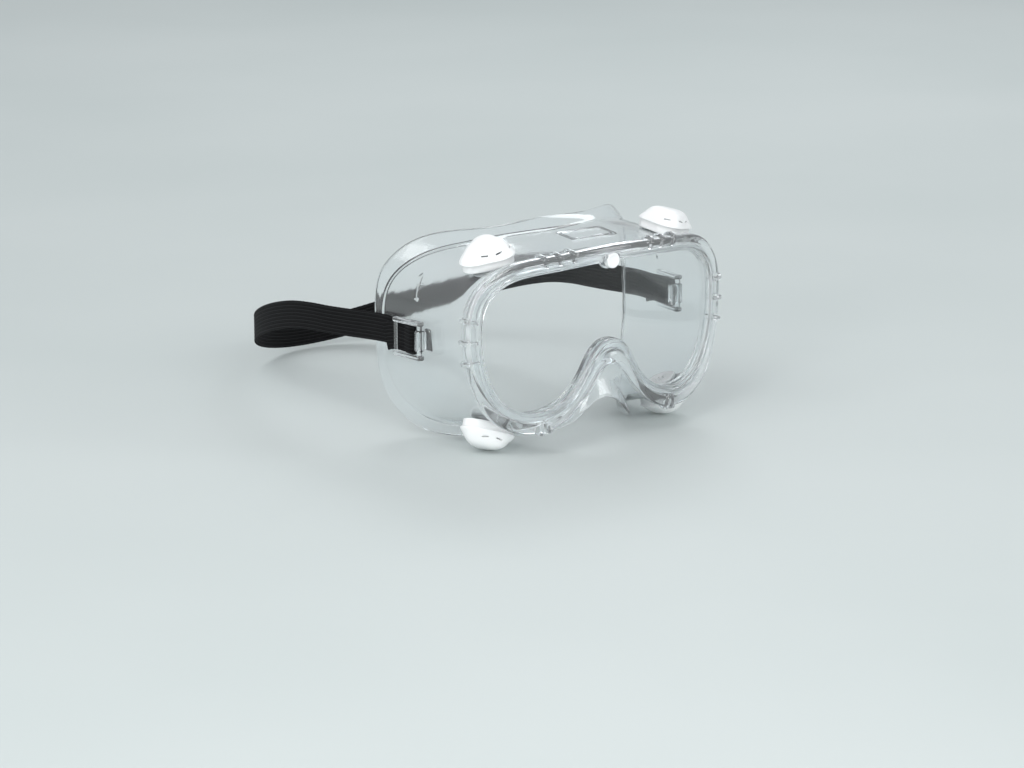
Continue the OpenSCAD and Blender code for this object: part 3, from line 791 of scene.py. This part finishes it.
def ribbon(name, path, start, waves):
    """A length of ribbed elastic along a path. start is the length of band before it."""
    tangent = unit(np.gradient(path, axis=0))
    up = unit(np.array([0, 0, 1.0]) - tangent[:, 2:] * tangent)
    out = np.cross(up, tangent)
    section = ribbon_section()
    length = start + lengths_along(path)
    ripple = waves * sum(share * np.sin(length * turn + shift) for share, turn, shift in RIPPLES)
    share_out = section[:, 0] / (BAND_WIDTH / 2)
    across = section[:, 0] + ripple[:, None] * share_out ** 3
    sections = path[:, None] + up[:, None] * across[..., None] + out[:, None] * section[None, :, 1:]
    strap = piece_from(name, *open_skin(sections), sharp=60)
    # No points merge and faces keep their order, so a vertex's number gives its place on the ribbon
    lie = np.column_stack([np.tile(section[:, 0], len(path)), np.repeat(length, len(section))]) * MM
    corner = np.zeros(len(strap.data.loops), np.int32)
    strap.data.loops.foreach_get("vertex_index", corner)
    layer = strap.data.uv_layers.new(name=STRAP_UV)
    layer.data.foreach_set("uv", lie[corner].astype(np.float32).ravel())
    return strap


def band_paths():
    """The band's middle line from the left buckle's bar round to the right one, and the tail's."""
    bend = WRAP_BAR[0] / 2 + WRAP_PLAY + BAND_THICKNESS / 2
    centre = HINGE + [WRAP_BAR_X, WRAP_BAR_Y, 0]
    # The leg outside the bar, which bulges a little, and the turn round the bar
    half = [[TAIL_X, TAIL_START_Y, HINGE[2]], [TAIL_X + 0.6, TAIL_START_Y - 2.6, HINGE[2]]]
    half += [list(centre + bend * np.array([math.cos(a), math.sin(a), 0]))
             for a in np.radians(np.arange(0, -181, -20))]
    half += [list(p) for p in BAND_SIDE[1:]]
    for a in np.radians(np.arange(7.5, 90.1, 7.5)):
        half.append([BAND_HALF_WIDTH * math.cos(a),
                     BAND_CURVE_Y + (BAND_REACH - BAND_CURVE_Y) * math.sin(a),
                     BAND_START_Z - BAND_DROP * math.sin(a) ** BAND_DROP_CURVE])
    other = [[-p[0], p[1], p[2]] for p in half[-2::-1]]
    tail = []
    for y in np.linspace(TAIL_START_Y + 0.02, TAIL_END_Y, 15):
        past = max(0.0, y - TAIL_SAG_Y) / (TAIL_END_Y - TAIL_SAG_Y)
        tail.append([TAIL_X + TAIL_OUT * past ** 3, y, HINGE[2] - TAIL_SAG * past ** 1.4])
    return through(half + other, BAND_STEP), through(tail, BAND_STEP)


def make_headband():
    """The band's back, its two side runs and its two tails, by name."""
    main, tail = band_paths()
    n = len(main)
    back_from = next(i for i in range(n) if main[i, 1] > SEAM_Y)
    spans = {"headband_left": (0, back_from + 1), "headband_back": (back_from, n - back_from),
             "headband_right": (n - back_from - 1, n)}
    before = lengths_along(main)
    made = {name: ribbon(name, main[a:b], before[a], BAND_RIPPLE) for name, (a, b) in spans.items()}
    for side, flip in FLIP.items():
        name = f"headband_tail_{side}"
        made[name] = ribbon(name, tail * [flip, 1, 1], TAIL_WEAVE_START, TAIL_RIPPLE)
    return made


# ---------------------------------------------------------------- materials
class Nodes:
    """A node tree, with short calls to add to it."""

    def __init__(self, tree):
        self.tree = tree

    def add(self, kind, **values):
        """A node. A value goes to the node's own setting of that name, or else to its input."""
        node = self.tree.nodes.new(kind)
        for key, value in values.items():
            if hasattr(node, key):
                setattr(node, key, value)
            else:
                node.inputs[key.replace("_", " ")].default_value = value
        return node

    def link(self, a, b):
        self.tree.links.new(a, b)

    def maths(self, operation, *values):
        """A Math node on sockets and numbers."""
        node = self.add("ShaderNodeMath", operation=operation)
        for socket, value in zip(node.inputs, values):
            if isinstance(value, (int, float)):
                socket.default_value = value
            else:
                self.link(value, socket)
        return node.outputs[0]

    def split(self, vector):
        node = self.add("ShaderNodeSeparateXYZ")
        self.link(vector, node.inputs["Vector"])
        return node.outputs

    def coordinates(self, kind):
        return self.add("ShaderNodeTexCoord").outputs[kind]

    def noise(self, scale, detail=3.0):
        node = self.add("ShaderNodeTexNoise", Scale=scale, Detail=detail, Roughness=0.5)
        self.link(self.coordinates("Object"), node.inputs["Vector"])
        return node.outputs["Fac"]

    def ramp(self, factor, stops):
        node = self.add("ShaderNodeValToRGB")
        elements = node.color_ramp.elements
        while len(elements) < len(stops):
            elements.new(0.5)
        for element, (position, colour) in zip(elements, stops):
            element.position = position
            element.color = (*colour, 1)
        self.link(factor, node.inputs["Fac"])
        return node.outputs["Color"]

    def spread(self, factor, low, high, **values):
        node = self.add("ShaderNodeMapRange", To_Min=low, To_Max=high, **values)
        self.link(factor, node.inputs["Value"])
        return node.outputs["Result"]

    def bump(self, height, strength, distance, under=None):
        node = self.add("ShaderNodeBump", Strength=strength, Distance=distance)
        self.link(height, node.inputs["Height"])
        if under is not None:
            self.link(under, node.inputs["Normal"])
        return node.outputs["Normal"]

    def total(self, a, b):
        """The sum of two colours."""
        node = self.add("ShaderNodeMix", data_type="RGBA", blend_type="ADD", Factor=1.0)
        colour_a, colour_b, colour_result = node.inputs[6], node.inputs[7], node.outputs[2]
        self.link(a, colour_a)
        self.link(b, colour_b)
        return colour_result


class Surface(Nodes):
    """A new material: the values are its shader's own."""

    def __init__(self, name, **values):
        self.material = bpy.data.materials.new(name)
        self.material.use_nodes = True
        super().__init__(self.material.node_tree)
        self.shader = self.tree.nodes["Principled BSDF"]
        for key, value in values.items():
            self.shader.inputs[key.replace("_", " ")].default_value = value

    def drive(self, **sockets):
        """Links sockets to the shader's inputs."""
        for key, socket in sockets.items():
            self.link(socket, self.shader.inputs[key.replace("_", " ")])


# Transmission of the soft frame: the rim's up to RIM_TO, and the wall's from WALL_FROM, which are
# in millimetres back from the front of the lens
RIM_CLEAR, WALL_CLEAR, RIM_TO, WALL_FROM = 0.9, 0.95, 4, 9
WEFT_PITCH = 0.0008


def clear_plastic(name, ior, tints, rough, wave_scale, wave_depth, clear=1.0):
    """Clear moulded plastic: tint and gloss vary a little, and the surface is slightly uneven."""
    n = Surface(name, Transmission_Weight=clear, IOR=ior)
    n.drive(Base_Color=n.ramp(n.noise(28), [(0.3, tints[0]), (0.7, tints[1])]),
            Roughness=n.spread(n.noise(160), *rough),
            Normal=n.bump(n.noise(wave_scale, 2.0), 1.0, wave_depth))
    return n


def soft_pvc():
    """The frame's plastic: the thick rim is milkier than the thin walls behind it."""
    n = clear_plastic("clear_pvc_moulding", 1.5, ((0.93, 0.965, 0.98), (0.97, 0.985, 0.99)),
                      (0.02, 0.07), 70, 0.00006)
    x, y, _ = n.split(n.coordinates("Object"))
    behind_lens = n.maths("MULTIPLY_ADD", n.maths("POWER", x, 2.0), -0.5 / (LENS_RADIUS * MM), y)
    n.drive(Transmission_Weight=n.spread(
        behind_lens, RIM_CLEAR, WALL_CLEAR, interpolation_type="SMOOTHSTEP",
        From_Min=(RIM_TO - LENS_SETBACK) * MM, From_Max=(WALL_FROM - LENS_SETBACK) * MM))
    return n.material


def white_plastic():
    """Matt white moulded plastic with a fine grain."""
    n = Surface("white_plastic_soft", IOR=1.49, Subsurface_Weight=0.25, Subsurface_Scale=0.002,
                Subsurface_Radius=(1.0, 1.0, 1.0))
    grain = n.bump(n.noise(2600, 2.0), 0.35, 0.00005)
    whites = [(0.3, (0.85, 0.868, 0.872)), (0.7, (0.88, 0.89, 0.892))]
    n.drive(Base_Color=n.ramp(n.noise(60), whites), Roughness=n.spread(n.noise(300), 0.34, 0.5),
            Normal=n.bump(n.noise(120, 2.0), 0.5, 0.0002, grain))
    return n.material


def black_elastic():
    """Ribbed elastic: warp cords along the band, weft threads across them and a little lint."""
    n = Surface("black_elastic_weave", IOR=1.45, Specular_IOR_Level=0.2, Sheen_Weight=0.02,
                Sheen_Roughness=0.5, Sheen_Tint=(0.75, 0.78, 0.85, 1))
    across, along, _ = n.split(n.add("ShaderNodeUVMap", uv_map=STRAP_UV).outputs["UV"])

    def wave(source, period, shift=0.0):
        sine = n.maths("SINE", n.maths("MULTIPLY_ADD", source, 2 * math.pi / period, shift))
        return n.maths("MULTIPLY_ADD", sine, 0.5, 0.5)

    rib = BAND_WIDTH * MM / RIBS
    knit = n.maths("MULTIPLY", wave(across, rib / 2), wave(along, WEFT_PITCH))
    # Painted shade in the rib troughs and between the threads, and a painted highlight on the rib
    # crests
    painted_rib_light = wave(across, rib, (RIBS + 1.5) * math.pi)
    painted_light_tone = n.maths("MULTIPLY", painted_rib_light, n.spread(knit, 0.6, 1.0))
    yarn_with_painted_light = n.ramp(painted_light_tone, [(0.0, (0.001, 0.001, 0.0012)), (0.5, (0.003, 0.003, 0.0034)),
                         (1.0, (0.024, 0.025, 0.027))])
    lint = n.ramp(n.noise(1800, 4.0), [(0.62, (0, 0, 0)), (0.8, (0.008, 0.008, 0.0085))])
    thread = n.bump(knit, 0.8, 0.00018)
    n.drive(Base_Color=n.total(yarn_with_painted_light, lint), Roughness=n.spread(knit, 0.9, 0.68),
            Normal=n.bump(n.noise(3500), 0.5, 0.00008, thread))
    return n.material


PVC = soft_pvc()
# The lens bends light less than its plastic does, which keeps its reflections faint
LENS = clear_plastic("clear_lens_sheet", 1.3, ((0.985, 0.992, 0.995), (0.995, 0.998, 1.0)),
                     (0.0, 0.015), 12, 0.000005).material
HARD = clear_plastic("clear_buckle_plastic", 1.55, ((0.95, 0.975, 0.985), (0.985, 0.99, 0.995)),
                     (0.01, 0.05), 150, 0.00003, 0.96).material
WHITE = white_plastic()
BLACK = black_elastic()


def dress(piece, material):
    piece.data.materials.clear()
    piece.data.materials.append(material)


def fit(piece, body, material, slot, *nodes):
    """Gives a piece its material and the body that it moves with, and hides the CAD nodes it stands
    for.
    """
    dress(piece, material)
    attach(piece, body)
    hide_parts(*nodes)


fit(make_frame(), "frame", PVC, "clear_pvc", "frame_body")
fit(make_lens(), "frame", LENS, "clear_lens", "lens")
fit(make_stud(), "frame", WHITE, "white_plastic", "lens_stud")
fit(make_stud_cap(), "frame", WHITE, "white_plastic", "lens_stud_cap")
for side in SIDES:
    for lower in (False, True):
        vent = f"{'lower' if lower else 'upper'}_{side}"
        fit(make_cap(side, lower), "frame", WHITE, "white_plastic", f"vent_cap_{vent}")
        fit(make_baffle(side, lower), "frame", WHITE, "white_plastic", f"vent_baffle_{vent}")
    fit(make_buckle(side), f"{side}_buckle", HARD, "clear_plastic", f"buckle_{side}")

band = make_headband()
for strap in band.values():
    dress(strap, BLACK)
for side, flip in FLIP.items():
    run, tail = band[f"headband_{side}"], band[f"headband_tail_{side}"]
    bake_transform(run)
    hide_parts(f"strap_loop_{side}", f"strap_side_{side}")
    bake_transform(tail)
    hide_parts(f"strap_tail_{side}")
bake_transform(band["headband_back"])
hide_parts("strap_back")


# ---------------------------------------------------------------- camera, floor and light
CAMERA_AZIMUTH, CAMERA_ELEVATION, CAMERA_DISTANCE = math.radians(-39), math.radians(14.4), 1.6
CAMERA_LENS, CAMERA_SENSOR = 125, 36
AIM_LEFT, AIM_BELOW = 0.0438, 0.0243    # of the lens's front, so that the goggles sit off centre
FLOOR_GAP, FLOOR_HALF = 0.0003, 12
WORLD_STRENGTH = 0.68
SKY = [(0.0, (0.6, 0.64, 0.65)), (0.5, (0.82, 0.87, 0.88)), (0.62, (0.72, 0.77, 0.79)),
       (0.85, (0.9, 0.92, 0.95)), (1.0, (0.95, 0.97, 1.0))]     # from below, by height
LIGHTS_FACE = Vector((0, 0.05, 0))


def add_object(name, data):
    obj = bpy.data.objects.new(name, data)
    bpy.context.scene.collection.objects.link(obj)
    return obj


def facing(direction):
    """The turn of a camera or light that looks along a direction."""
    return direction.to_track_quat("-Z", "Y").to_euler()


def add_camera():
    flat = math.cos(CAMERA_ELEVATION)
    toward = Vector((-math.sin(CAMERA_AZIMUTH) * flat, math.cos(CAMERA_AZIMUTH) * flat,
                     -math.sin(CAMERA_ELEVATION)))
    right = Vector((math.cos(CAMERA_AZIMUTH), math.sin(CAMERA_AZIMUTH), 0))
    up = right.cross(toward)
    lens_front = Vector((0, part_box("lens")[0].y, 0))
    camera = add_object("camera", bpy.data.cameras.new("camera"))
    camera.data.lens, camera.data.sensor_width = CAMERA_LENS, CAMERA_SENSOR
    camera.location = lens_front - right * AIM_LEFT - up * AIM_BELOW - toward * CAMERA_DISTANCE
    camera.rotation_euler = facing(toward)
    bpy.context.scene.camera = camera


def add_floor():
    """Plain pale paper, just under the lowest point."""
    z, r = min(CAD_BOX[0][2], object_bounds()[0][2]) - FLOOR_GAP, FLOOR_HALF
    mesh = bpy.data.meshes.new("floor")
    mesh.from_pydata([(-r, -r, z), (r, -r, z), (r, r, z), (-r, r, z)], [], [(0, 1, 2, 3)])
    paper = Surface("floor_paper", Roughness=0.6)
    paper.drive(Base_Color=paper.ramp(paper.noise(3), [(0.3, (0.53, 0.58, 0.572)),
                                                       (0.7, (0.57, 0.615, 0.607))]))
    mesh.materials.append(paper.material)
    add_object("floor", mesh)


def add_sky():
    """A pale studio all round, darker below and a little darker just above the horizon."""
    world = bpy.data.worlds.new("studio")
    world.use_nodes = True
    bpy.context.scene.world = world
    sky = Nodes(world.node_tree)
    height = sky.maths("MULTIPLY_ADD", sky.split(sky.coordinates("Generated"))["Z"], 0.5, 0.5)
    background = sky.tree.nodes["Background"]
    background.inputs["Strength"].default_value = WORLD_STRENGTH
    sky.link(sky.ramp(height, SKY), background.inputs["Color"])


def softbox(name, azimuth, elevation, distance, size, power, colour=(1, 1, 1)):
    """A rectangular area light that faces the goggles. azimuth is 0 in front of them."""
    light = bpy.data.lights.new(name, "AREA")
    light.shape, light.size, light.size_y = "RECTANGLE", size[0], size[1]
    light.energy, light.color = power, colour
    a, e = math.radians(azimuth), math.radians(elevation)
    way = Vector((math.sin(a) * math.cos(e), -math.cos(a) * math.cos(e), math.sin(e)))
    obj = add_object(name, light)
    obj.location = LIGHTS_FACE + way * distance
    obj.rotation_euler = facing(-way)


add_camera()
add_floor()
add_sky()
softbox("key", -75, 45, 1.6, (1.1, 0.8), 8)
softbox("front", -15, 22, 1.9, (1.0, 0.5), 10.5)
softbox("fill", -62, 9, 1.7, (0.4, 0.9), 9)
softbox("side", 38, 14, 1.8, (0.35, 0.9), 4)
softbox("rim", 130, 40, 1.6, (0.9, 0.5), 5, (0.95, 0.98, 1.0))

scene = bpy.context.scene
scene.view_settings.view_transform = "Standard"
scene.cycles.max_bounces = 24
scene.cycles.transmission_bounces = 24
scene.cycles.use_denoising = True
